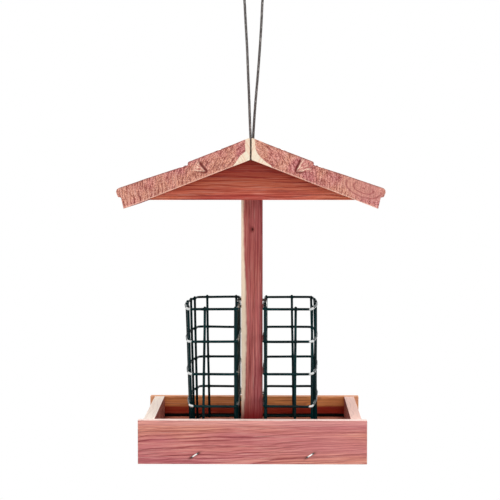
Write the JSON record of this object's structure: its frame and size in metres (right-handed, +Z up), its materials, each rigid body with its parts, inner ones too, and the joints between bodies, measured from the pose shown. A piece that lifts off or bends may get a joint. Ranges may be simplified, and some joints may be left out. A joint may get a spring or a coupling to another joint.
{
  "type": "suet feeder",
  "caption": "Hanging bird feeder with a gabled wood roof on a centre post, a shallow tray and two wire cages for suet cakes.",
  "frame": {"origin": "inner top of the hanging cord's loop, where a hook carries the feeder", "axes": "+Z up along the hanging line, -Y the front as pictured, +X to the viewer's right"},
  "size_m": [0.2058, 0.1778, 0.3772],
  "materials": {
    "roof_wood": "rough-sawn face, planed end grain",
    "gable_wood": "smooth sawn",
    "post_wood": "smooth sawn",
    "tray_wood": "smooth sawn",
    "coated_wire": "glossy vinyl coat over welded wire",
    "staple_steel": "galvanised",
    "screw_steel": "zinc plated",
    "cord": "braided"
  },
  "bodies": {
    "feeder": {"post": "post_wood", "post_screws": "screw_steel", "tray_floor": "tray_wood", "tray_front": "tray_wood", "tray_back": "tray_wood", "tray_left": "tray_wood", "tray_right": "tray_wood", "staples_front": "staple_steel", "staples_back": "staple_steel", "staples_sides": "staple_steel", "cage_left_rings": "coated_wire", "cage_left_uprights": "coated_wire", "cage_left_staples": "staple_steel", "cage_right_rings": "coated_wire", "cage_right_uprights": "coated_wire", "cage_right_staples": "staple_steel", "hanger_cord": "cord", "cord_nail": "staple_steel"},
    "roof": {"roof_board_left": "roof_wood", "roof_board_right": "roof_wood", "gable_front": "gable_wood", "gable_back": "gable_wood", "roof_staples": "staple_steel"}
  },
  "joints": [
    {"name": "roof_lift", "type": "slide", "parent": "feeder", "child": "roof", "axis": [0, 0, 1], "range_m": [0, 0.076], "deforming": ["hanger_cord"]}
  ]
}
